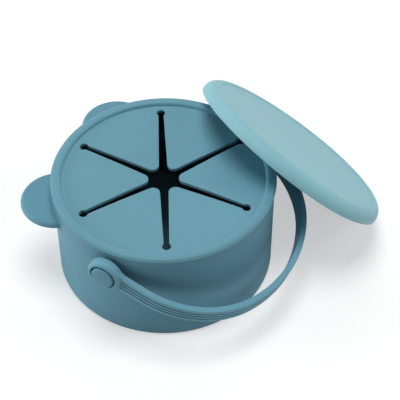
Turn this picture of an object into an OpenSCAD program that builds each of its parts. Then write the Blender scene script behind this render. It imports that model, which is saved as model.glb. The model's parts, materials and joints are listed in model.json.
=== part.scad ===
// Toddler snack container: a round silicone cup with two ear tabs, a slit star cover
// pressed into its mouth, a strap handle hung on two studs, and a lid taken off and
// leaning on the rim. Millimetres, +Z up. The origin is the centre of the cup's base,
// on the floor; the ears are towards +Y, the studs along X, the lowered handle on -Y.

/* [Cup] */
// Outer radius of the wall
cup_r = 48.2; // [42:0.1:54]
// Height of the wall, up to the cover's flange
cup_h = 49.1; // [46:0.1:60]
// Thickness of the wall
cup_wall = 3; // [2.4:0.1:4]
// Thickness of the floor
cup_floor = 3; // [2:0.1:6]
// Radius of the round edge under the cup
foot_round = 1.8; // [0.5:0.1:2.5]
// Radius of the cove between the floor and the wall inside
cavity_round = 5; // [1:0.1:10]

/* [Ears] */
// Radius of an ear
ear_r = 15.6; // [10:0.1:18]
// Thickness of an ear, with a full round edge
ear_t = 3.6; // [2:0.1:6]
// Height of the middle of the ears
ear_z = 40.1; // [30:0.1:42]
// Angle of each ear from the cup's back
ear_angle = 33.8; // [25:0.1:45]
// How far an ear's centre lies inside the wall's outer face
ear_set_in = 1.2; // [0:0.1:4]

/* [Studs] */
// Height of the handle's hinge axis
stud_z = 39.2; // [34:0.1:40]
// Radius of a stud's neck
neck_r = 3.4; // [2.5:0.1:4]
// Radius of the shoulder that keeps the strap off the wall
shoulder_r = 5; // [4.2:0.1:6]
// Radius of a stud's head
head_r = 5; // [4.2:0.1:5.5]
// Thickness of a stud's head
head_t = 2; // [1.6:0.1:4]
// Radius of the head's round edge
head_round = 0.6; // [0.3:0.1:1.4]

/* [Star cover] */
// How far the flange stands out past the wall
flange_lip = 0.8; // [0.3:0.1:1.5]
// Thickness of the flange
flange_t = 2; // [1.8:0.1:3]
// Radius of the flange's upper outer edge
flange_round = 1.5; // [0.5:0.1:1.7]
// Width of the flange's flat top, from the outer edge to the step
flange_w = 4.7; // [3:0.1:7]
// Depth of the step down to the membrane
step_depth = 1.6; // [0.8:0.1:2.4]
// Thickness of the membrane
membrane_t = 1.8; // [1:0.1:2.4]
// How far the flaps' tips hang below the membrane's edge
flap_droop = 1.7; // [0:0.1:4]
// Length of the skirt that plugs into the cup
skirt_len = 5; // [3:0.1:10]
// Thickness of the skirt
skirt_t = 1.7; // [1:0.1:2.5]
// Clearance between the skirt and the wall
skirt_clear = 0.1; // [0.05:0.01:0.3]
// Distance from the step to the middle of the slits' round ends
slit_margin = 4.4; // [3.5:0.1:8]
// Radius of a slit's round end
roundel_r = 1.9; // [1.5:0.1:2.1]
// Width of a slit at its outer end
slit_w_out = 2.2; // [1:0.1:3]
// Width of a slit at the middle hole
slit_w_in = 3.6; // [2:0.1:5]
// Radius at which the slits open into the middle hole
hub_r = 9; // [7:0.1:12]
// Radius of a flap's tip
tip_r = 3; // [2:0.1:3.5]
// Gap at a flap's living hinge
hinge_gap = 0.25; // [0.2:0.01:0.4]

/* [Handle] */
// Clearance between the strap and the flange's edge
strap_clear = 0.7; // [0.4:0.1:2]
// Thickness of the strap
strap_t = 2.7; // [2:0.1:3.8]
// Width of the strap
strap_w = 8.1; // [6:0.1:10]
// Length of each straight arm, from the hinge axis
arm_len = 18; // [12:0.1:30]
// Radius of the side bends, at the middle of the strap
bend_r = 44.3; // [30:0.1:49]
// Angle that each side bend turns
bend_angle = 66.4; // [40:0.1:75]
// Number of grooves along the outer face
groove_count = 3; // [0:1:4]
// Distance between the grooves
groove_pitch = 1.9; // [1.4:0.1:2]
// Width of a groove
groove_w = 0.8; // [0.4:0.1:1]
// Depth of a groove
groove_d = 0.5; // [0.2:0.1:0.9]
// Radius of the eyelet round each stud
eye_r = 7.6; // [6.8:0.1:8.4]
// Thickness of the eyelet
eye_t = 4.4; // [3.8:0.1:6]
// Radius of the eyelet's outer edge
eye_round = 1.4; // [0.4:0.1:1.6]
// Radius of the coves between the eyelet and the strap
eye_cove = 6; // [3:0.1:8]
// Width of the recess round a stud's head
recess_gap = 0.8; // [0.4:0.1:1.2]
// Depth of the recess in the eyelet's face
recess_depth = 1.3; // [0.4:0.1:1.5]
// Radial clearance of the eyelet on the stud's neck
bore_clear = 0.08; // [0.05:0.01:0.1]
// End clearance of the eyelet between the stud's shoulder and head
end_clear = 0.3; // [0.2:0.05:0.5]
// Angle of the lowered handle below the level
handle_droop = 17.5; // [10:0.1:25]

/* [Lid] */
// Radius of the lid
lid_r = 49.4; // [47:0.1:54]
// Height of the lid's edge
lid_h = 6.4; // [5:0.1:8]
// Radius of the lid's shoulder
lid_round = 4; // [1:0.1:4.5]
// Radius of the lid's lower edges
lid_edge = 0.5; // [0.2:0.1:1]
// Depth of the shallow hollow in the lid's underside
lid_hollow = 1; // [0.3:0.1:2]
// Height of the ring that plugs into the cover's step
plug_h = 0.6; // [0.5:0.1:1.4]
// Thickness of that ring
plug_t = 2.6; // [1.5:0.1:5]
// Clearance between the ring and the step
plug_clear = 0.3; // [0.1:0.05:0.6]
// Angle of the leaning lid from the level
lid_lean = 45; // [40:0.1:50]
// Direction that the lid leans down to, from +X
lid_turn = -30.1; // [-40:0.1:-20]
// How far the lid sits to the side of that direction
lid_shift = -6.5; // [-8:0.1:8]
// Gap between the lid and the floor, and the lid and the rim
seat_gap = 0.3; // [0.2:0.05:0.5]

/* [Hidden] */
$fn = 96;
eps = 0.01;
cup_colour = [0.38, 0.56, 0.62];
cover_colour = [0.42, 0.61, 0.67];
flap_colour = [0.42, 0.62, 0.68];
strap_colour = [0.36, 0.55, 0.61];
lid_colour = [0.62, 0.78, 0.81];

// Cup and cover
cavity_r = cup_r - cup_wall;
rim_r = cup_r + flange_lip;
rim_z = cup_h + flange_t;
step_r = rim_r - flange_w;
membrane_z = rim_z - step_depth;
skirt_r = cavity_r - skirt_clear;
flap_count = 6;
half_slice = 180 / flap_count;

// A flap, in a frame with +X along its middle. Its straight side runs at side_angle.
slit_end_r = step_r - slit_margin;
hinge_x = slit_end_r * cos(half_slice);
hinge_z = membrane_z - membrane_t / 2;
opening_r = (hinge_x + membrane_t / 2 + hinge_gap) / cos(half_slice);
function beside_slit(r, width) = [
    r * cos(half_slice) + width / 2 * sin(half_slice),
    r * sin(half_slice) - width / 2 * cos(half_slice)
];
side_out = beside_slit(slit_end_r, slit_w_out);
side_in = beside_slit(hub_r, slit_w_in);
side_angle = atan2(side_out[1] - side_in[1], side_out[0] - side_in[0]);
function side_y(x) = side_in[1] + (x - side_in[0]) * tan(side_angle);
tip_x = side_in[0] + (tip_r / cos(side_angle) - side_in[1]) / tan(side_angle);
droop_steps = 6;
droop_power = 1.6;
function droop(x) = flap_droop * pow((hinge_x - x) / hinge_x, droop_power);

// Points on an arc about [x, y], from one angle to another
function arc(x, y, r, from, to, steps) =
    [for (i = [0 : steps]) let (a = from + (to - from) * i / steps) [x + r * cos(a), y + r * sin(a)]];
function backwards(points) = [for (i = [len(points) - 1 : -1 : 0]) points[i]];

// Handle
strap_in = rim_r + strap_clear;
strap_mid = strap_in + strap_t / 2;
eye_out = strap_in + eye_t;
front_r = (strap_mid - bend_r * (1 - cos(bend_angle))) / cos(bend_angle);
front_y = -arm_len + (front_r - bend_r) * sin(bend_angle);
bend_steps = 14;
front_steps = 10;
front_step = (180 - 2 * bend_angle) / front_steps;
groove_start = eye_r + groove_w / 2;
groove_bed = strap_t / 2 - groove_d;

// The strap's loop, seen from above, at distance d outside its middle line: the right
// arm from y = start, the right bend, the front, the left bend and the left arm
function loop(d, start) = concat(
    [[strap_mid + d, start]],
    arc(strap_mid - bend_r, -arm_len, bend_r + d, 0, -bend_angle, bend_steps),
    arc(0, front_y, front_r + d, -bend_angle - front_step, bend_angle - 180 + front_step, front_steps - 2),
    arc(bend_r - strap_mid, -arm_len, bend_r + d, bend_angle - 180, -180, bend_steps),
    [[-strap_mid - d, start]]
);

// A cove between the eyelet and the strap is tangent to both
cove_y = sqrt(pow(eye_r + eye_cove, 2) - pow(strap_w / 2 + eye_cove, 2));
cove_angle = atan2(cove_y, strap_w / 2 + eye_cove);

// Lid. Its lowest edge stands on the floor and the hollow of its underside lies on the
// flange's edge.
lid_z = seat_gap + (lid_r - lid_edge) * sin(lid_lean) + lid_edge * (1 - cos(lid_lean));
flange_reach = (rim_r - flange_round) * sin(lid_lean) + (rim_z - flange_round) * cos(lid_lean)
    + flange_round;
lid_out = (flange_reach + seat_gap - lid_hollow - lid_z * cos(lid_lean)) / sin(lid_lean);
plug_r = step_r - plug_clear;

// What is cut from a square corner at [x, y] to round it, with the solid on the lower
// left (sx = sy = 1), and mirrored for the other corners
module corner_cut(x, y, r, sx = 1, sy = 1)
    translate([x, y])
        scale([sx, sy])
            difference() {
                translate([-r, -r]) square(r + eps);
                translate([-r, -r]) circle(r);
            }

// A rectangle whose four corners are round, centred
module round_bar(w, h, r)
    difference() {
        square([w, h], center = true);
        for (sx = [-1, 1], sy = [-1, 1])
            corner_cut(sx * w / 2, sy * h / 2, r, sx, sy);
    }

module cup() {
    color(cup_colour)
        union() {
            rotate_extrude() cup_profile();
            for (side = [-1, 1])
                rotate([0, 0, 90 + side * ear_angle]) ear();
            for (turn = [0, 180])
                rotate([0, 0, turn]) stud();
        }
}

module cup_profile()
    difference() {
        square([cup_r, cup_h]);
        difference() {
            translate([0, cup_floor]) square([cavity_r, cup_h]);
            translate([cavity_r - cavity_round, cup_floor])
                difference() {
                    square(cavity_round + eps);
                    translate([0, cavity_round]) circle(cavity_round);
                }
        }
        corner_cut(cup_r, 0, foot_round, 1, -1);
    }

// A flat round tab with a full round edge, grown from the wall
module ear()
    difference() {
        translate([cup_r - ear_set_in, 0, ear_z])
            rotate_extrude() {
                translate([0, -ear_t / 2]) square([ear_r - ear_t / 2, ear_t]);
                translate([ear_r - ear_t / 2, 0])
                    intersection() {
                        circle(ear_t / 2);
                        translate([-eps, -ear_t]) square([ear_t, 2 * ear_t]);
                    }
            }
        translate([0, 0, ear_z - ear_t]) cylinder(h = 2 * ear_t, r = cup_r - cup_wall / 2);
    }

// Shoulder, neck and mushroom head, turned about the hinge axis and grown from the wall
module stud() {
    root_x = cup_r - cup_wall / 2;
    shoulder_x = strap_in - end_clear;
    head_x = eye_out - recess_depth + end_clear;
    translate([0, 0, stud_z])
        rotate([0, 90, 0])
            rotate_extrude() {
                translate([0, root_x]) square([shoulder_r, shoulder_x - root_x]);
                translate([0, root_x]) square([neck_r, head_x - root_x + eps]);
                translate([0, head_x])
                    difference() {
                        square([head_r, head_t]);
                        corner_cut(head_r, head_t, head_round);
                    }
            }
}

module star_cover() {
    color(cover_colour)
        difference() {
            rotate_extrude() cover_profile();
            // The flaps' opening has its corners in the slits' round ends
            translate([0, 0, cup_h - skirt_len])
                rotate([0, 0, half_slice])
                    cylinder(h = 2 * skirt_len + flange_t, r = opening_r, $fn = flap_count);
            slit_ends();
        }
}

module cover_profile() {
    difference() {
        translate([step_r - eps, cup_h]) square([flange_w + eps, flange_t]);
        corner_cut(rim_r, rim_z, flange_round);
    }
    translate([0, membrane_z - membrane_t]) square([step_r, membrane_t]);
    translate([skirt_r - skirt_t, cup_h - skirt_len]) square([skirt_t, skirt_len + eps]);
}

module slit_ends()
    for (i = [0 : flap_count - 1])
        rotate([0, 0, half_slice + i * 360 / flap_count])
            translate([slit_end_r, 0, membrane_z - 2 * membrane_t])
                cylinder(h = 4 * membrane_t, r = roundel_r, $fn = 48);

// One flap of the star, cut free along two slits and bending along its outer side
module petal(number) {
    color(flap_colour)
        rotate([0, 0, (number - 1) * 360 / flap_count])
            difference() {
                intersection() {
                    rotate([90, 0, 0])
                        linear_extrude(height = 2 * slit_end_r, center = true) petal_side();
                    translate([0, 0, membrane_z - 2 * membrane_t - flap_droop])
                        linear_extrude(height = 4 * membrane_t + flap_droop) petal_plan();
                }
                slit_ends();
            }
}

module petal_plan() {
    end_x = hinge_x + membrane_t;
    polygon(concat(
        arc(tip_x, 0, tip_r, 90 + side_angle, 270 - side_angle, 12),
        [[end_x, -side_y(end_x)], [end_x, side_y(end_x)]]
    ));
}

// Seen from the side: the drooping flap, and its round outer edge about the hinge axis
module petal_side() {
    xs = [for (i = [0 : droop_steps - 1]) hinge_x * i / droop_steps];
    polygon(concat(
        [for (x = xs) [x, membrane_z - droop(x)]],
        arc(hinge_x, hinge_z, membrane_t / 2, 90, -90, 12),
        backwards([for (x = xs) [x, membrane_z - membrane_t - droop(x)]])
    ));
}

// Drawn level, with its arms towards -Y, then let down about the studs
module handle_strap() {
    color(strap_colour)
        translate([0, 0, stud_z])
            rotate([handle_droop, 0, 0])
                difference() {
                    union() {
                        strap_band(-strap_t / 2, strap_t / 2, strap_w, 0);
                        for (side = [0, 1])
                            mirror([side, 0, 0]) eyelet();
                    }
                    for (i = [0 : 1 : groove_count - 1])
                        translate([0, 0, (i - (groove_count - 1) / 2) * groove_pitch])
                            strap_band(groove_bed, groove_bed + 2 * groove_d, groove_w, -groove_start);
                    for (turn = [90, -90])
                        rotate([0, turn, 0]) eyelet_bore();
                }
}

// A band along the loop, between two distances from its middle line
module strap_band(from, to, width, start)
    linear_extrude(height = width, center = true)
        polygon(concat(loop(to, start), backwards(loop(from, start))));

// A round boss with coves that run into the strap
module eyelet()
    translate([strap_in, 0, 0])
        rotate([0, 90, 0]) {
            rotate_extrude()
                difference() {
                    square([eye_r, eye_t]);
                    corner_cut(eye_r, eye_t, eye_round);
                }
            linear_extrude(height = strap_t) eyelet_coves();
        }

// In this frame the strap runs towards -Y and its width lies along X
module eyelet_coves() {
    cove_x = strap_w / 2 + eye_cove;
    right = arc(cove_x, -cove_y, eye_cove, 180 - cove_angle, 180, 8);
    polygon(concat([[0, 0]], right, backwards([for (p = right) [-p[0], p[1]]])));
}

module eyelet_bore() {
    cylinder(h = eye_out + eps, r = neck_r + bore_clear);
    translate([0, 0, eye_out - recess_depth]) cylinder(h = recess_depth + eps, r = head_r + recess_gap);
}

// Drawn about its own axis with its lower face at z = 0, then leant on the rim
module lid() {
    color(lid_colour)
        rotate([0, 0, lid_turn])
            translate([lid_out, lid_shift, lid_z])
                rotate([0, lid_lean, 0])
                    rotate_extrude() {
                        difference() {
                            square([lid_r, lid_h]);
                            corner_cut(lid_r, lid_h, lid_round);
                            corner_cut(lid_r, 0, lid_edge, 1, -1);
                            translate([0, -eps]) square([plug_r - plug_t, lid_hollow + eps]);
                        }
                        translate([plug_r - plug_t / 2, -plug_h / 2 + lid_edge / 2])
                            round_bar(plug_t, plug_h + lid_edge, lid_edge);
                    }
}

cup();
star_cover();
petal(1);  // petal_1
petal(2);  // petal_2
petal(3);  // petal_3
petal(4);  // petal_4
petal(5);  // petal_5
petal(6);  // petal_6
handle_strap();
lid();
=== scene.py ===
"""Toddler snack container: the looks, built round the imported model.

A silicone cup with ears, a slit star cover in its mouth, a grooved strap handle on two
studs, and a paler lid that leans on the rim. Sizes are in metres. The frame gives the
rim's radius and height, the wall's height and the hinge's height.
"""

import json
from math import atan2, cos, hypot, pi, radians, sin, sqrt, tan

import bmesh
import bpy
from mathutils import Matrix, Vector
from mathutils.geometry import delaunay_2d_cdt


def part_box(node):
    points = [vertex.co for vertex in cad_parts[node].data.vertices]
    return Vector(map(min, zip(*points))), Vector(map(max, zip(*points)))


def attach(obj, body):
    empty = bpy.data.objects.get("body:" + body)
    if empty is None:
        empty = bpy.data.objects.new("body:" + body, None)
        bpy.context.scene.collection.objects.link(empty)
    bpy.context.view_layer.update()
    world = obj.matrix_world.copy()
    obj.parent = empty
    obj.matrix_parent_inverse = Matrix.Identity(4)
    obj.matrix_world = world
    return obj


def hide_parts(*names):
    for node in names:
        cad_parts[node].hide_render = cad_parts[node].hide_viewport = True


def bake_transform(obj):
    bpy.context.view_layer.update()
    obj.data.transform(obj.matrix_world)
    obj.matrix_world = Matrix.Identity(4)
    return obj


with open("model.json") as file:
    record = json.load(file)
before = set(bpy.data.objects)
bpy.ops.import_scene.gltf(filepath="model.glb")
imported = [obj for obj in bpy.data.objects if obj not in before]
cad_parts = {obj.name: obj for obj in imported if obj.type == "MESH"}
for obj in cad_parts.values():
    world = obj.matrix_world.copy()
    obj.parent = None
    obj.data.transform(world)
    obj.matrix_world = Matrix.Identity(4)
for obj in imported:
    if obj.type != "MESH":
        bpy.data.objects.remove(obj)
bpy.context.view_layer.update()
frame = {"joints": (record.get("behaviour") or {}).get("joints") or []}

MM = 0.001
JOINTS = {joint["name"]: joint for joint in frame["joints"]}

# Cup
RIM_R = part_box("star_cover")[1].x
RIM_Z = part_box("star_cover")[1].z
FLANGE_LIP = 0.8 * MM
CUP_R = RIM_R - FLANGE_LIP
CUP_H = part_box("cup")[1].z
CUP_WALL = 3 * MM
CUP_FLOOR = 3 * MM
FOOT_ROUND = 1.8 * MM
CAVITY_ROUND = 5 * MM
WALL_EDGE = 0.3 * MM
EAR_R = 15.6 * MM
EAR_T = 3.6 * MM
EAR_Z = 40.1 * MM
EAR_ANGLE = radians(33.8)
EAR_SET_IN = 1.2 * MM
EAR_FILLET = 1.2 * MM
EAR_ROOT_CLEAR = 0.1 * MM
EAR_ROOT = CUP_R - CUP_WALL + EAR_ROOT_CLEAR

# Studs
STUD_Z = JOINTS["handle_swing"]["pos_m"][2]
NECK_R = 3.4 * MM
SHOULDER_R = 5 * MM
HEAD_R = 5 * MM
HEAD_T = 2 * MM
HEAD_ROUND = 0.5 * MM
HEAD_CROWN = 0.25 * MM
HEAD_FLAT_R = HEAD_R / 2
HEAD_UNDER_ROUND = 0.3 * MM
SHOULDER_ROUND = 0.2 * MM

# Star cover
FLANGE_ROUND = 1.5 * MM
BEAD_RUN = 2.6 * MM
BEAD_STAND = 0.1 * MM
FLANGE_EDGE = 0.25 * MM
LEDGE_Z = RIM_Z - 1.2 * MM
LEDGE_IN = 0.3 * MM
FLANGE_W = 4.7 * MM
STEP_ROUND = 1.5 * MM
STEP_DEPTH = 1.6 * MM
STEP_COVE = 0.1 * MM
STEP_R = RIM_R - FLANGE_W
MEMBRANE_T = 1.8 * MM
MEMBRANE_Z = RIM_Z - STEP_DEPTH
FLAP_DROOP = 1.7 * MM
DROOP_POWER = 1.6
SKIRT_LEN = 5 * MM
SKIRT_T = 1.7 * MM
SKIRT_CLEAR = 0.1 * MM
SKIRT_EDGE = 0.5 * MM
SKIRT_COVE = 0.4 * MM
SKIRT_R = CUP_R - CUP_WALL - SKIRT_CLEAR
SLIT_MARGIN = 4.4 * MM
SLIT_END_R = STEP_R - SLIT_MARGIN
ROUNDEL_R = 1.9 * MM
SLIT_W_OUT = 2.2 * MM
SLIT_W_IN = 3.6 * MM
HUB_R = 9 * MM
TIP_R = 3 * MM
FLAPS = 6
HALF_SLICE = pi / FLAPS
SLIT_EDGE = 0.25 * MM
SEAM_CLEAR = 0.2 * MM
SEAM_R = SLIT_END_R + ROUNDEL_R + SLIT_EDGE + SEAM_CLEAR
HINGE_X = SLIT_END_R * cos(HALF_SLICE)
FILL_PITCH = 1.6 * MM
FILL_CLEAR = 0.7 * MM

# Handle
STRAP_CLEAR = 0.7 * MM
STRAP_IN = RIM_R + STRAP_CLEAR
STRAP_T = 2.7 * MM
STRAP_W = 8.1 * MM
ARM_LEN = 18 * MM
BEND_R = 44.3 * MM
BEND_ANGLE = radians(66.4)
GROOVES = 3
GROOVE_PITCH = 1.9 * MM
GROOVE_D = 0.85 * MM
GROOVE_FLOOR = 0.15 * MM
GROOVE_SIDE = 0.35 * MM
GROOVE_MIDDLES = [(i - (GROOVES - 1) / 2) * GROOVE_PITCH for i in range(GROOVES)]
EYE_R = 7.6 * MM
EYE_T = 4.4 * MM
EYE_COVE = 6 * MM
RECESS_GAP = 0.8 * MM
RECESS_R = HEAD_R + RECESS_GAP
RECESS_EDGE = 0.25 * MM
RECESS_DEPTH = 1.3 * MM
UNDERCUT = 0.9 * MM
BORE_CLEAR = 0.08 * MM
BORE_R = NECK_R + BORE_CLEAR
BORE_EDGE_IN = 0.3 * MM
BORE_EDGE_OUT = 0.2 * MM
END_CLEAR = 0.3 * MM
HANDLE_DROOP = radians(17.5)
STRAP_ROUND = 0.55 * MM
STRAP_ROUND_IN = 0.4 * MM
GROOVE_START = 0.6 * MM
EYE_ROUND = EYE_T - STRAP_T
EYE_BLEND = 0.7 * MM
EYE_FALL = 2
EYE_SHARES = [0, 0.12, 0.25, 0.38, 0.5, 0.6, 0.7, 0.78, 0.85, 0.91, 0.96, 0.99, 1]

# Lid
LID_R = 49.4 * MM
LID_H = 6.4 * MM
LID_ROUND = 4.2 * MM
LID_BREAK = radians(15)
LID_EDGE = 0.5 * MM
LID_HOLLOW = 1 * MM
LID_SAG = 1 * MM
FACE_STEP = 0.6 * MM
FACE_RUN = 0.7 * MM
FACE_SET_IN = 1.6 * MM
FACE_EDGE = 0.4 * MM
PLUG_H = 0.6 * MM
PLUG_T = 2.6 * MM
PLUG_CLEAR = 0.3 * MM
PLUG_R = STEP_R - PLUG_CLEAR
PLUG_EDGE = 0.3 * MM
PLUG_COVE_IN = 0.8 * MM
PLUG_COVE_OUT = 0.2 * MM
LID_LEAN = radians(45)
LID_TURN = radians(-30.1)
LID_SHIFT = -6.5 * MM
SEAT_GAP = 0.3 * MM

# Meshes
LATHE_STEPS = 180
STUD_STEPS = 72
MERGE_DISTANCE = 1e-7
NOTHING = 1e-9
SHARP_DEGREES = 50
FLAP_SHARP_DEGREES = 60
NORMAL_WEIGHT = 60
LID_SIDE = LID_R / 12

# Colours and light
CUP_COLOUR = (0.116, 0.292, 0.382)
COVER_COLOUR = (0.129, 0.311, 0.39)
STRAP_COLOUR = (0.145, 0.345, 0.437)
LID_COLOUR = (0.255, 0.5, 0.561)
# Painted shade: inside the cavity the cup's colour is darkened, the more the deeper, where shade
# falls.
CAVITY_PAINTED_SHADE = 0.25
CAVITY_DARK_Z = CUP_H / 3
WHITE = (1, 1, 1, 1)
FLOOR_SIZE = 3
FLOOR_GLOW = 0.483
FLOOR_LIT = (0.57, 0.57, 0.57, 1)
FLOOR_BOUNCE = (0.88, 0.88, 0.88, 1)
DOME_COLOUR = (0.034, 0.034, 0.034, 1)

# Level directions as the camera sees them, and the lamps' places and watts
IMAGE_LEFT = Vector((-0.457, 0.889, 0))
IMAGE_BACK = Vector((0.889, 0.457, 0))
FRONT_RIGHT = -(IMAGE_LEFT + IMAGE_BACK).normalized()
LIT_POINT = Vector((0, 0, 0.03))
LAMP_SIZE = 0.5
LAMPS = {
    "top_lamp": (Vector((0, 0, 0.95)), 5.5),
    "back_lamp": (IMAGE_BACK * 0.6 + Vector((0, 0, 0.7)), 1.2),
    "left_lamp": (IMAGE_LEFT * 0.9 + Vector((0, 0, 0.2)), 5),
    "right_lamp": (IMAGE_LEFT * -0.75 + Vector((0, 0, 0.5)), 1.5),
    "front_right_lamp": (FRONT_RIGHT * 0.75 + Vector((0, 0, 0.5)), 0.7),
}

# The photograph's view, 47 degrees above the level
LENS = 117
SENSOR = 36
CAMERA_PLACE = (-0.33855, -0.19178, 0.45610)
CAMERA_TURN = (radians(42.668), radians(0.038), radians(-62.826))


# Shapes

def arc(cx, cy, r, start, end, steps):
    """Points on an arc, both ends included."""
    angles = [start + (end - start) * i / steps for i in range(steps + 1)]
    return [(cx + r * cos(a), cy + r * sin(a)) for a in angles]


def smooth(t):
    """0 to 1 with level ends."""
    t = min(max(t, 0.0), 1.0)
    return t * t * (3 - 2 * t)


def rounded(corners, steps=6):
    """A closed outline from corners (x, y, radius), each rounded by an arc."""
    outline = []
    count = len(corners)
    for i, (x, y, r) in enumerate(corners):
        here = Vector((x, y))
        if r == 0:
            outline.append((x, y))
            continue
        before = (Vector(corners[i - 1][:2]) - here).normalized()
        after = (Vector(corners[(i + 1) % count][:2]) - here).normalized()
        half = before.angle(after) / 2
        centre = here + (before + after).normalized() * (r / sin(half))
        first = here + before * (r / tan(half)) - centre
        last = here + after * (r / tan(half)) - centre
        turn = first.angle_signed(last)
        for k in range(steps + 1):
            a = atan2(first.y, first.x) - turn * k / steps
            outline.append((centre.x + r * cos(a), centre.y + r * sin(a)))
    return outline


def finish_mesh(name, bm, sharp=SHARP_DEGREES):
    """A smooth-shaded object from bm, with the edges over that many degrees sharp."""
    bmesh.ops.remove_doubles(bm, verts=bm.verts, dist=MERGE_DISTANCE)
    bmesh.ops.dissolve_degenerate(bm, edges=bm.edges, dist=MERGE_DISTANCE)
    bmesh.ops.recalc_face_normals(bm, faces=bm.faces)
    mesh = bpy.data.meshes.new(name)
    bm.to_mesh(mesh)
    bm.free()
    mesh.shade_smooth()
    mesh.set_sharp_from_angle(angle=radians(sharp))
    piece = bpy.data.objects.new(name, mesh)
    bpy.context.scene.collection.objects.link(piece)
    return piece


def add_lathe(bm, outline, steps, matrix=Matrix.Identity(4)):
    """Turns a closed outline of (radius, height) about Z into bm."""
    rings = []
    for i in range(steps):
        a = 2 * pi * i / steps
        rings.append([bm.verts.new(matrix @ Vector((r * cos(a), r * sin(a), z)))
                      for r, z in outline])
    for i in range(steps):
        ring, following = rings[i], rings[(i + 1) % steps]
        for k in range(len(outline)):
            nxt = (k + 1) % len(outline)
            if outline[k][0] < NOTHING and outline[nxt][0] < NOTHING:
                continue
            bm.faces.new((ring[k], following[k], following[nxt], ring[nxt]))


def lathe(name, outline, steps=LATHE_STEPS, matrix=Matrix.Identity(4)):
    """A smooth-shaded object turned from a closed outline."""
    bm = bmesh.new()
    add_lathe(bm, outline, steps, matrix)
    return finish_mesh(name, bm)


def join_solids(base, others):
    """Unites closed pieces into base, and removes them."""
    for other in others:
        union = base.modifiers.new("union", "BOOLEAN")
        union.operation = "UNION"
        union.solver = "EXACT"
        union.object = other
    graph = bpy.context.evaluated_depsgraph_get()
    mesh = bpy.data.meshes.new_from_object(base.evaluated_get(graph))
    base.modifiers.clear()
    base.data = mesh
    for other in others:
        bpy.data.objects.remove(other)
    mesh.shade_smooth()
    mesh.set_sharp_from_angle(angle=radians(SHARP_DEGREES))
    return base


def even_normals(piece):
    """Keeps flat faces flat beside their rounded edges."""
    weighted = piece.modifiers.new("even_normals", "WEIGHTED_NORMAL")
    weighted.keep_sharp = True
    weighted.weight = NORMAL_WEIGHT
    return piece


# Materials

def set_values(node, values):
    """Sets the sockets of a node that nothing is linked to."""
    for socket, value in values.items():
        node.inputs[socket].default_value = value


def add_node(nodes, kind, values=None, **settings):
    """A new shader node of that kind, with its settings and its sockets' values."""
    node = nodes.new("ShaderNode" + kind)
    for setting, value in settings.items():
        setattr(node, setting, value)
    set_values(node, values or {})
    return node


def new_material(name):
    """A material with its nodes, its links and its shader."""
    material = bpy.data.materials.new(name)
    material.use_nodes = True
    tree = material.node_tree
    return material, tree.nodes, tree.links, tree.nodes["Principled BSDF"]


def paint_cavity_shade(nodes, links, place, colour, target):
    """Paints shade into a colour inside the cup, darker from its mouth down to CAVITY_DARK_Z."""
    level = add_node(nodes, "VectorMath", {1: (1, 1, 0)}, operation="MULTIPLY")
    reach = add_node(nodes, "VectorMath", operation="LENGTH")
    inside = add_node(nodes, "Math", {1: CUP_R - CUP_WALL / 2}, operation="LESS_THAN")
    links.new(place, level.inputs[0])
    links.new(level.outputs["Vector"], reach.inputs[0])
    links.new(reach.outputs["Value"], inside.inputs[0])

    parts = add_node(nodes, "SeparateXYZ")
    depth = add_node(nodes, "MapRange", {"From Min": CUP_H, "From Max": CAVITY_DARK_Z},
                     interpolation_type="SMOOTHSTEP")
    above = add_node(nodes, "Math", {1: CUP_FLOOR / 2}, operation="GREATER_THAN")
    links.new(place, parts.inputs[0])
    links.new(parts.outputs["Z"], depth.inputs["Value"])
    links.new(parts.outputs["Z"], above.inputs[0])

    cavity = add_node(nodes, "Math", operation="MULTIPLY")
    amount = add_node(nodes, "Math", operation="MULTIPLY")
    painted_shade_colour = add_node(nodes, "VectorMath", {"Scale": CAVITY_PAINTED_SHADE}, operation="SCALE")
    mix = add_node(nodes, "Mix", data_type="RGBA")
    links.new(inside.outputs[0], cavity.inputs[0])
    links.new(above.outputs[0], cavity.inputs[1])
    links.new(cavity.outputs[0], amount.inputs[0])
    links.new(depth.outputs["Result"], amount.inputs[1])
    links.new(colour, painted_shade_colour.inputs[0])
    links.new(amount.outputs[0], mix.inputs["Factor"])
    links.new(colour, mix.inputs["A"])
    links.new(painted_shade_colour.outputs["Vector"], mix.inputs["B"])
    links.new(mix.outputs["Result"], target)


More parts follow.
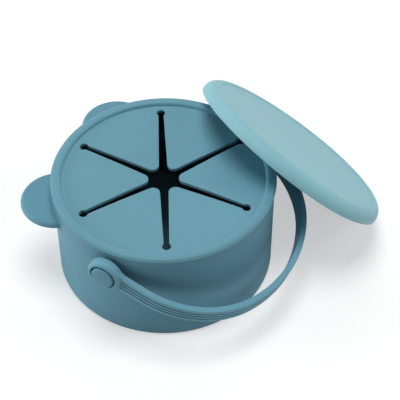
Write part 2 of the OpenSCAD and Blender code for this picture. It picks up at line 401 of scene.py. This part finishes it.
def silicone(name, colour, scatter=0.04, shaded=False):
    """Matt moulded silicone: a fine satin grain, a faint mottle and a little scatter.

    Where shaded is set, shade is painted into its colour inside the cup, darker further down.
    """
    mottle = 0.05
    material, nodes, links, shader = new_material(name)
    place = add_node(nodes, "TexCoord").outputs["Object"]

    cloud = add_node(nodes, "TexNoise", {"Scale": 38, "Detail": 3})
    tint = add_node(nodes, "Mix", data_type="RGBA")
    set_values(tint, {"A": (*[c * (1 - mottle) for c in colour], 1),
                      "B": (*[c * (1 + mottle) for c in colour], 1)})
    links.new(place, cloud.inputs["Vector"])
    links.new(cloud.outputs["Fac"], tint.inputs["Factor"])
    links.new(tint.outputs["Result"], shader.inputs["Base Color"])
    # Painted shade: inside the cup the colour darkens towards the floor.
    if shaded:
        paint_cavity_shade(nodes, links, place, tint.outputs["Result"], shader.inputs["Base Color"])

    wear = add_node(nodes, "TexNoise", {"Scale": 120, "Detail": 4})
    gloss = add_node(nodes, "MapRange", {"To Min": 0.44, "To Max": 0.56})
    links.new(place, wear.inputs["Vector"])
    links.new(wear.outputs["Fac"], gloss.inputs["Value"])
    links.new(gloss.outputs["Result"], shader.inputs["Roughness"])

    grain = add_node(nodes, "TexNoise", {"Scale": 2600, "Detail": 2})
    bump = add_node(nodes, "Bump", {"Strength": 0.12, "Distance": 0.1 * MM})
    links.new(place, grain.inputs["Vector"])
    links.new(grain.outputs["Fac"], bump.inputs["Height"])
    links.new(bump.outputs["Normal"], shader.inputs["Normal"])

    set_values(shader, {
        "Subsurface Weight": scatter,
        "Subsurface Radius": (0.5, 0.8, 1.0),
        "Subsurface Scale": 1.5 * MM,
        "Sheen Weight": 0.07,
        "Sheen Roughness": 0.5,
        "Specular IOR Level": 0.15,
    })
    return material


def dress(piece, material, slot, body, *nodes):
    """Gives a piece its material, its body and the nodes it stands for. The slot is not used."""
    piece.data.materials.clear()
    piece.data.materials.append(material)
    if body:
        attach(piece, body)
    if nodes:
        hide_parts(*nodes)
    return piece


# Cup

def cup_outline():
    """The wall and the floor, from the middle underneath round to the middle inside."""
    cavity_r = CUP_R - CUP_WALL
    return rounded([
        (0, 0, 0),
        (CUP_R, 0, FOOT_ROUND),
        (CUP_R, CUP_H, WALL_EDGE),
        (cavity_r, CUP_H, WALL_EDGE),
        (cavity_r, CUP_FLOOR, CAVITY_ROUND),
        (0, CUP_FLOOR, 0),
    ], steps=8)


def make_ear(name, angle):
    """A flat tab with a full round edge, which flares a little where it leaves the wall."""
    edge_steps, flat_steps, spokes = 8, 31, 120
    half = EAR_T / 2
    turn = Matrix.Rotation(angle, 4, "Z")
    centre_x = CUP_R - EAR_SET_IN

    def surface(distance, a, side):
        """A point at that distance inside the outline, above (1) or below (-1)."""
        r = EAR_R - distance
        x, y = centre_x + r * cos(a), r * sin(a)
        rim = min(distance, half)
        w = sqrt(max(rim * (2 * half - rim), 0))
        out = hypot(x, y) - CUP_R
        flare = 0.0
        if out < EAR_FILLET:
            near = EAR_FILLET - max(out, 0)
            flare = EAR_FILLET - sqrt(max(EAR_FILLET ** 2 - near ** 2, 0))
        w *= 1 + flare / half
        y *= 1 + flare / 2 / EAR_R
        return turn @ Vector((x, y, EAR_Z + side * w))

    distances = [half * (1 - cos(pi / 2 * i / edge_steps)) for i in range(edge_steps + 1)]
    step = (EAR_R - half) / flat_steps
    distances += [half + step * (i + 1) for i in range(flat_steps)]
    bm = bmesh.new()
    for side in (1, -1):
        grid = [[bm.verts.new(surface(d, 2 * pi * i / spokes, side)) for i in range(spokes)]
                for d in distances]
        for row, following in zip(grid, grid[1:]):
            for i in range(spokes):
                nxt = (i + 1) % spokes
                bm.faces.new((row[i], row[nxt], following[nxt], following[i]))
    bmesh.ops.remove_doubles(bm, verts=bm.verts, dist=MERGE_DISTANCE)
    # The half inside the wall is cut away, so that it never shows in the cavity
    cut = bmesh.ops.bisect_plane(
        bm, geom=bm.verts[:] + bm.edges[:] + bm.faces[:], plane_co=turn @ Vector((EAR_ROOT, 0, 0)),
        plane_no=-(turn @ Vector((1, 0, 0))), clear_outer=True)
    edges = [e for e in cut["geom_cut"] if isinstance(e, bmesh.types.BMEdge)]
    bmesh.ops.edgeloop_fill(bm, edges=edges)
    return finish_mesh(name, bm)


def make_stud(name, angle):
    """A shoulder, a neck and a slightly crowned head, turned about the hinge's axis."""
    root_x = CUP_R - CUP_WALL / 2
    shoulder_x = STRAP_IN - END_CLEAR
    head_x = STRAP_IN + EYE_T - RECESS_DEPTH + END_CLEAR
    top = head_x + HEAD_T
    outline = rounded([
        (0, root_x, 0),
        (SHOULDER_R, root_x, 0),
        (SHOULDER_R, shoulder_x, SHOULDER_ROUND),
        (NECK_R, shoulder_x, 0),
        (NECK_R, head_x, 0),
        (HEAD_R, head_x, HEAD_UNDER_ROUND),
        (HEAD_R, top - HEAD_CROWN, HEAD_ROUND),
        (HEAD_FLAT_R, top, 0),
        (0, top, 0),
    ], steps=8)
    place = (Matrix.Rotation(angle, 4, "Z") @ Matrix.Translation((0, 0, STUD_Z))
             @ Matrix.Rotation(pi / 2, 4, "Y"))
    return lathe(name, outline, STUD_STEPS, place)


def make_cup():
    """The shell with its two ears and its two studs."""
    cup = lathe("cup_shell", cup_outline())
    grown = [make_ear("ear", pi / 2 + side * EAR_ANGLE) for side in (-1, 1)]
    grown += [make_stud("stud", turn) for turn in (0, pi)]
    return even_normals(join_solids(cup, grown))


# Star cover

def make_cover_ring():
    """The flange, the step, the skirt and the rim of the membrane that never bends."""
    bead_fall = RIM_Z - LEDGE_Z - BEAD_STAND
    bead = [(RIM_R - LEDGE_IN + BEAD_RUN * (x - 1), RIM_Z + bead_fall * (z - 1))
            for x, z in arc(0, 0, 1, pi / 2, 0, steps=14)]
    return even_normals(lathe("cover_ring", rounded([
        (SEAM_R, MEMBRANE_Z, 0),
        (STEP_R, MEMBRANE_Z, STEP_COVE),
        (STEP_R, RIM_Z, STEP_ROUND),
    ] + [(r, z, 0) for r, z in bead] + [
        (bead[-1][0], LEDGE_Z, STEP_COVE),
        (RIM_R, LEDGE_Z, FLANGE_EDGE),
        (RIM_R, CUP_H, FLANGE_EDGE),
        (SKIRT_R, CUP_H, 0),
        (SKIRT_R, CUP_H - SKIRT_LEN, SKIRT_EDGE),
        (SKIRT_R - SKIRT_T, CUP_H - SKIRT_LEN, SKIRT_EDGE),
        (SKIRT_R - SKIRT_T, MEMBRANE_Z - MEMBRANE_T, SKIRT_COVE),
        (SEAM_R, MEMBRANE_Z - MEMBRANE_T, 0),
    ])))


def beside_slit(r, width):
    """The point of the slit's side at radius r, in a frame with +X along a flap's middle."""
    return Vector((r * cos(HALF_SLICE) + width / 2 * sin(HALF_SLICE),
                   r * sin(HALF_SLICE) - width / 2 * cos(HALF_SLICE)))


def flap_half_edge(inset):
    """The flap's free edge at y > 0, that far inside it: tip, straight side, round slit end."""
    tip_steps, side_steps, end_steps = 8, 26, 16
    side_in, side_out = beside_slit(HUB_R, SLIT_W_IN), beside_slit(SLIT_END_R, SLIT_W_OUT)
    along = (side_out - side_in).normalized()
    out = Vector((-along.y, along.x))
    tip_x = (TIP_R - out.dot(side_in)) / along.y
    start = side_in - out * inset
    touch = Vector((tip_x, 0)) + out * (TIP_R - inset)

    centre = Vector((SLIT_END_R * cos(HALF_SLICE), SLIT_END_R * sin(HALF_SLICE)))
    r = ROUNDEL_R + inset
    to_centre = centre - start
    reach = to_centre.dot(along)
    miss = out.dot(to_centre)
    meet = start + along * (reach - sqrt(r * r - miss * miss))

    tip = arc(tip_x, 0, TIP_R - inset, pi, atan2(out.y, out.x), tip_steps)
    side = [tuple(touch.lerp(meet, i / side_steps)) for i in range(1, side_steps)]
    first = atan2(meet.y - centre.y, meet.x - centre.x)
    end = arc(centre.x, centre.y, r, first, HALF_SLICE, end_steps)
    return tip + side + end


def flap_edge(inset):
    """The whole free edge, from the slit end at y < 0 round the tip to the one at y > 0."""
    half = flap_half_edge(inset)
    return [(x, -y) for x, y in reversed(half[1:])] + half


def flap_droop(x):
    """How far a flap hangs down at x, from none at its hinge to most at its tip."""
    return FLAP_DROOP * max((HINGE_X - x) / HINGE_X, 0) ** DROOP_POWER


def flap_turn(number):
    """The turn from +X to that flap's middle."""
    return Matrix.Rotation((number - 1) * 2 * HALF_SLICE, 4, "Z")


def fill_flap(outline):
    """Triangles over the flat of a flap, fine enough to bend."""
    half_row = 16
    edges = [(outline[i], outline[i - 1]) for i in range(len(outline))]

    def inside(x, y):
        hit = False
        for (ax, ay), (bx, by) in edges:
            if (ay > y) != (by > y) and x < (bx - ax) * (y - ay) / (by - ay) + ax:
                hit = not hit
        return hit and min(hypot(x - ax, y - ay) for ax, ay in outline) > FILL_CLEAR

    grid = []
    for i in range(int(SEAM_R / FILL_PITCH) + 1):
        shift = FILL_PITCH / 2 * (i % 2)
        for j in range(-half_row, half_row + 1):
            x, y = i * FILL_PITCH, j * FILL_PITCH + shift
            if inside(x, y):
                grid.append((x, y))
    points = [Vector(p) for p in outline + grid]
    inside_outline = 1
    filled = delaunay_2d_cdt(points, [], [list(range(len(outline)))], inside_outline, NOTHING)
    return filled[0], filled[2]


def make_flap(number):
    """One flap, out to the seam with the ring. Its free edges are rounded above and below."""
    round_steps = 4
    profile = []
    for side in (1, -1):
        part = []
        for k in range(round_steps + 1):
            a = pi / 2 * k / round_steps
            height = MEMBRANE_T / 2 - SLIT_EDGE * (1 - cos(a))
            part.append((SLIT_EDGE * (1 - sin(a)), side * height))
        profile += part if side == 1 else part[::-1]

    turn = flap_turn(number)
    middle_z = MEMBRANE_Z - MEMBRANE_T / 2
    bm = bmesh.new()

    def vertex(x, y, z):
        return bm.verts.new(turn @ Vector((x, y, middle_z + z - flap_droop(x))))

    rows = [[vertex(x, y, z) for x, y in flap_edge(inset)] for inset, z in profile]
    for row, following in zip(rows, rows[1:]):
        for i in range(len(row) - 1):
            bm.faces.new((row[i], row[i + 1], following[i + 1], following[i]))

    seam_steps = LATHE_STEPS // FLAPS
    seam = arc(0, 0, SEAM_R, HALF_SLICE, -HALF_SLICE, seam_steps)
    points, triangles = fill_flap(flap_edge(SLIT_EDGE) + seam)
    for z in (MEMBRANE_T / 2, -MEMBRANE_T / 2):
        sheet = [vertex(p[0], p[1], z) for p in points]
        for triangle in triangles:
            bm.faces.new([sheet[i] for i in triangle])
    above = [vertex(x, y, MEMBRANE_T / 2) for x, y in seam]
    below = [vertex(x, y, -MEMBRANE_T / 2) for x, y in seam]
    for i in range(seam_steps):
        bm.faces.new((above[i], above[i + 1], below[i + 1], below[i]))
    for end, corner in ((-1, 0), (0, -1)):
        bm.faces.new([row[end] for row in rows] + [below[corner], above[corner]])
    return finish_mesh(f"flap_{number}", bm, FLAP_SHARP_DEGREES)


# Handle

COVE_X = STRAP_W / 2 + EYE_COVE
COVE_Y = sqrt((EYE_R + EYE_COVE) ** 2 - COVE_X ** 2)
COVE_ANGLE = atan2(COVE_X, COVE_Y)
STRAP_MID = STRAP_IN + STRAP_T / 2
FRONT_R = (STRAP_MID - BEND_R * (1 - cos(BEND_ANGLE))) / cos(BEND_ANGLE)
FRONT_Y = -ARM_LEN + (FRONT_R - BEND_R) * sin(BEND_ANGLE)


def edge_distance(y, z):
    """How far a point of the handle's arm lies inside its outline, seen along X."""
    z = abs(z)
    if y <= -COVE_Y:
        return STRAP_W / 2 - z
    if atan2(z, -y) < COVE_ANGLE and y < 0:
        return hypot(-y - COVE_Y, z - COVE_X) - EYE_COVE
    return EYE_R - hypot(y, z)


def rounding(distance, r):
    """How far a rounded edge of radius r falls off, that far inside it."""
    short = r - min(max(distance, 0), r)
    return r - sqrt(max(r * r - short * short, 0))


def groove(z):
    """Depth of the grooves along the outer face."""
    nearest = min(abs(z - middle) for middle in GROOVE_MIDDLES)
    return GROOVE_D * (1 - smooth((nearest - GROOVE_FLOOR) / GROOVE_SIDE))


def blended_top(a, b, width):
    """The higher of two heights, blended where they are close."""
    near = max(width - abs(a - b), 0) / width
    return max(a, b) + near * near * width / 4


def outer_height(y, z):
    """Height of the outer face over the inner face."""
    r = hypot(y, z)
    ring = EYE_T - rounding(EYE_R - r, EYE_ROUND) - EYE_FALL * max(r - EYE_R, 0)
    start = smooth((-y - EYE_R) / GROOVE_START)
    strap = STRAP_T - groove(z) * start - rounding(edge_distance(y, z), STRAP_ROUND)
    return blended_top(ring, strap, EYE_BLEND)


def inner_height(y, z):
    """Height of the inner face, which lifts only at its rounded edges."""
    return rounding(edge_distance(y, z), STRAP_ROUND_IN)


def across_strap():
    """Stations across the strap, from one edge to the other, close together at the edges."""
    edge_steps, side_steps = 6, 7
    edge = [STRAP_ROUND * (1 - cos(pi / 2 * i / edge_steps)) for i in range(edge_steps + 1)]
    near = [GROOVE_FLOOR + GROOVE_SIDE * i / side_steps for i in range(side_steps + 1)]
    grooves = [middle + u for middle in GROOVE_MIDDLES for u in [-u for u in near] + [0] + near]
    between = [(i - GROOVES / 2) * GROOVE_PITCH for i in range(GROOVES + 1)]
    low, high = [-STRAP_W / 2 + d for d in edge], [STRAP_W / 2 - d for d in edge]
    return sorted(low + grooves + between + high)


def strap_rows():
    """Centre-line points and outward directions round the loop, from right to left."""
    rows = []
    arm_steps, bend_steps, front_steps = 6, 44, 26
    for i in range(arm_steps):
        rows.append((STRAP_MID, -COVE_Y - (ARM_LEN - COVE_Y) * i / arm_steps, 0.0))
    for i in range(bend_steps):
        a = -BEND_ANGLE * i / bend_steps
        rows.append((STRAP_MID - BEND_R + BEND_R * cos(a), -ARM_LEN + BEND_R * sin(a), a))
    for i in range(front_steps + 1):
        a = -BEND_ANGLE - (pi - 2 * BEND_ANGLE) * i / front_steps
        rows.append((FRONT_R * cos(a), FRONT_Y + FRONT_R * sin(a), a))
    left = [(-x, y, pi - a) for x, y, a in reversed(rows[:arm_steps + bend_steps])]
    return rows + left


def add_strap(bm):
    """The loop between the eyelets, one section swept along its rows."""
    stations = across_strap()
    section = [(outer_height(-COVE_Y, z), z) for z in stations]
    section += [(inner_height(-COVE_Y, z), z) for z in reversed(stations)]
    rings = []
    for x, y, a in strap_rows():
        ring = []
        for height, z in section:
            out = height - STRAP_T / 2
            ring.append(bm.verts.new((x + out * cos(a), y + out * sin(a), z)))
        rings.append(ring)
    for ring, following in zip(rings, rings[1:]):
        for k in range(len(section)):
            nxt = (k + 1) % len(section)
            bm.faces.new((ring[k], following[k], following[nxt], ring[nxt]))


def outline_rays():
    """Ends of the rays from the stud's axis to the eyelet's outline, as (y, z), and closed."""
    cove_steps, ring_steps = 12, 72
    arm = [(-COVE_Y, z) for z in across_strap()]
    turns = [pi / 2 - (pi / 2 - COVE_ANGLE) * i / cove_steps for i in range(1, cove_steps)]
    cove = [(-COVE_Y + EYE_COVE * cos(a), COVE_X - EYE_COVE * sin(a)) for a in turns]
    start = pi - COVE_ANGLE
    ring = arc(0, 0, EYE_R, start, -start, ring_steps)
    return arm + cove + ring + [(y, -z) for y, z in reversed(cove)]


def add_eyelet(bm, side):
    """The ring round a stud, with a recess for its head, faired into the strap."""
    lip_steps = 4
    floor = EYE_T - RECESS_DEPTH - UNDERCUT

    def vertex(r, height, uy, uz):
        return bm.verts.new((side * (STRAP_IN + height), r * uy, r * uz))

    columns = []
    for y, z in outline_rays():
        reach = hypot(y, z)
        uy, uz = y / reach, z / reach
        bottom, top = [(BORE_R, BORE_EDGE_IN)], []
        for share in EYE_SHARES:
            r = BORE_R + BORE_EDGE_IN + (reach - BORE_R - BORE_EDGE_IN) * share
            bottom.append((r, inner_height(r * uy, r * uz)))
        for share in reversed(EYE_SHARES):
            r = RECESS_R + RECESS_EDGE + (reach - RECESS_R - RECESS_EDGE) * share
            top.append((r, outer_height(r * uy, r * uz)))
        lip_height = top[-1][1]
        for k in range(1, lip_steps + 1):
            a = pi / 2 * k / lip_steps
            top.append((RECESS_R + RECESS_EDGE * (1 - sin(a)),
                        lip_height - RECESS_EDGE * (1 - cos(a))))
        top += [(RECESS_R, floor + RECESS_EDGE), (RECESS_R - RECESS_EDGE, floor),
                (BORE_R + BORE_EDGE_OUT, floor), (BORE_R, floor - BORE_EDGE_OUT)]
        low = [vertex(r, h, uy, uz) for r, h in bottom]
        high = [vertex(r, h, uy, uz) for r, h in top]
        columns.append((low, high, abs(y + COVE_Y) < NOTHING))
    for (low, high, on_arm), (low2, high2, on_arm2) in zip(columns, columns[1:] + columns[:1]):
        for chain, chain2 in ((low, low2), (high, high2)):
            for k in range(len(chain) - 1):
                bm.faces.new((chain[k], chain2[k], chain2[k + 1], chain[k + 1]))
        if not (on_arm and on_arm2):
            bm.faces.new((low[-1], low2[-1], high2[0], high[0]))
        bm.faces.new((high[-1], high2[-1], low2[0], low[0]))


def make_strap():
    """The loop and its two eyelets, made level and then swung down to rest."""
    bm = bmesh.new()
    add_strap(bm)
    for side in (1, -1):
        add_eyelet(bm, side)
    swing = Matrix.Translation((0, 0, STUD_Z)) @ Matrix.Rotation(HANDLE_DROOP, 4, "X")
    bm.transform(swing)
    return finish_mesh("strap", bm)


# Lid

def short_sides(outline, longest):
    """The outline with points added, so that no side of it is longer than that."""
    steps = []
    for here, following in zip(outline, outline[1:] + outline[:1]):
        parts = max(int(hypot(following[0] - here[0], following[1] - here[1]) / longest), 1)
        steps += [tuple(Vector(here).lerp(Vector(following), k / parts)) for k in range(parts)]
    return steps


def make_lid():
    """Drawn about its own axis, then leant on the rim. It sags between the floor and the rim."""
    low = SEAT_GAP + (LID_R - LID_EDGE) * sin(LID_LEAN) + LID_EDGE * (1 - cos(LID_LEAN))
    reach = ((RIM_R - FLANGE_ROUND) * sin(LID_LEAN) + (RIM_Z - FLANGE_ROUND) * cos(LID_LEAN)
             + FLANGE_ROUND)
    out = (reach + SEAT_GAP - LID_HOLLOW - low * cos(LID_LEAN)) / sin(LID_LEAN)
    place = (Matrix.Rotation(LID_TURN, 4, "Z") @ Matrix.Translation((out, LID_SHIFT, low))
             @ Matrix.Rotation(LID_LEAN, 4, "Y"))
    hollow = LID_HOLLOW + LID_SAG
    shoulder_r = LID_ROUND / (1 - sin(LID_BREAK))
    shoulder_z = LID_H - shoulder_r * cos(LID_BREAK)
    shoulder = arc(LID_R - shoulder_r, shoulder_z, shoulder_r, 0, pi / 2 - LID_BREAK, steps=14)
    face_r = shoulder[-1][0] - FACE_SET_IN
    outline = rounded([
        (0, hollow, 0),
        (PLUG_R - PLUG_T, hollow, PLUG_COVE_IN),
        (PLUG_R - PLUG_T, -PLUG_H, PLUG_EDGE),
        (PLUG_R, -PLUG_H, PLUG_EDGE),
        (PLUG_R, 0, PLUG_COVE_OUT),
        (LID_R, 0, LID_EDGE),
    ] + [(r, z, 0) for r, z in shoulder] + [
        (face_r, LID_H, FACE_EDGE),
        (face_r - FACE_RUN, LID_H - FACE_STEP, FACE_EDGE),
        (0, LID_H - FACE_STEP, 0),
    ], steps=10)
    lid = lathe("lid_disc", short_sides(outline, LID_SIDE))
    for vertex in lid.data.vertices:
        vertex.co.z -= LID_SAG * (1 - (vertex.co.x / LID_R) ** 2)
    lid.data.transform(place)
    return even_normals(lid)


# Stage

def make_floor():
    """A pale floor. Part of the white that the camera sees is its own, to keep shadows light."""
    bm = bmesh.new()
    bmesh.ops.create_grid(bm, x_segments=2, y_segments=2, size=FLOOR_SIZE)
    floor = finish_mesh("floor", bm)
    material, nodes, links, shader = new_material("floor_paper")
    set_values(shader, {"Roughness": 0.9, "Specular IOR Level": 0.1, "Emission Color": WHITE})
    seen = add_node(nodes, "LightPath").outputs["Is Camera Ray"]
    paper = add_node(nodes, "Mix", data_type="RGBA")
    set_values(paper, {"A": FLOOR_BOUNCE, "B": FLOOR_LIT})
    glow = add_node(nodes, "Math", {1: FLOOR_GLOW}, operation="MULTIPLY")
    links.new(seen, paper.inputs["Factor"])
    links.new(paper.outputs["Result"], shader.inputs["Base Color"])
    links.new(seen, glow.inputs[0])
    links.new(glow.outputs[0], shader.inputs["Emission Strength"])
    floor.data.materials.append(material)
    return floor


def add_lamp(name, place, watts):
    """A round soft lamp, aimed at the part."""
    lamp = bpy.data.lights.new(name, "AREA")
    lamp.shape = "DISK"
    lamp.size = LAMP_SIZE
    lamp.energy = watts
    holder = bpy.data.objects.new(name, lamp)
    holder.location = place
    holder.rotation_euler = (LIT_POINT - place).to_track_quat("-Z", "Y").to_euler()
    bpy.context.scene.collection.objects.link(holder)


def make_world():
    """White to the camera, in reflections and through clear pieces, and a faint light otherwise."""
    world = bpy.data.worlds.new("studio")
    world.use_nodes = True
    nodes, links = world.node_tree.nodes, world.node_tree.links
    nodes.clear()
    seen = add_node(nodes, "LightPath")
    either = add_node(nodes, "Math", operation="MAXIMUM")
    any_ray = add_node(nodes, "Math", operation="MAXIMUM")
    dome = add_node(nodes, "Background", {"Color": DOME_COLOUR})
    white = add_node(nodes, "Background", {"Color": WHITE})
    mix = add_node(nodes, "MixShader")
    out = add_node(nodes, "OutputWorld")
    links.new(seen.outputs["Is Camera Ray"], either.inputs[0])
    links.new(seen.outputs["Is Transmission Ray"], either.inputs[1])
    links.new(either.outputs[0], any_ray.inputs[0])
    links.new(seen.outputs["Is Glossy Ray"], any_ray.inputs[1])
    links.new(any_ray.outputs[0], mix.inputs["Fac"])
    links.new(dome.outputs[0], mix.inputs[1])
    links.new(white.outputs[0], mix.inputs[2])
    links.new(mix.outputs[0], out.inputs["Surface"])
    bpy.context.scene.world = world


def make_camera():
    """The photograph's view: from above, between the left stud and the front of the handle."""
    data = bpy.data.cameras.new("camera")
    data.lens = LENS
    data.sensor_width = SENSOR
    camera = bpy.data.objects.new("camera", data)
    camera.location = CAMERA_PLACE
    camera.rotation_euler = CAMERA_TURN
    bpy.context.scene.collection.objects.link(camera)
    bpy.context.scene.camera = camera


make_camera()
# The cup's material holds painted shade inside its cavity.
cup_silicone = silicone("cup_silicone", CUP_COLOUR, shaded=True)
cover_silicone = silicone("cover_silicone", COVER_COLOUR)
strap_silicone = silicone("strap_silicone", STRAP_COLOUR)
lid_silicone = silicone("lid_silicone", LID_COLOUR, scatter=0.5)

dress(make_cup(), cup_silicone, "cup_silicone", "cup", "cup")
dress(make_cover_ring(), cover_silicone, "cover_silicone", "star_cover", "star_cover")
for number in range(1, FLAPS + 1):
    flap = dress(make_flap(number), cover_silicone, "cover_silicone", None, f"petal_{number}")
    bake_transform(flap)
dress(make_strap(), strap_silicone, "strap_silicone", "handle", "handle_strap")
dress(make_lid(), lid_silicone, "lid_silicone", "lid", "lid")

make_floor()
make_world()
for name, (place, watts) in LAMPS.items():
    add_lamp(name, place, watts)

bpy.context.scene.view_settings.view_transform = "Standard"
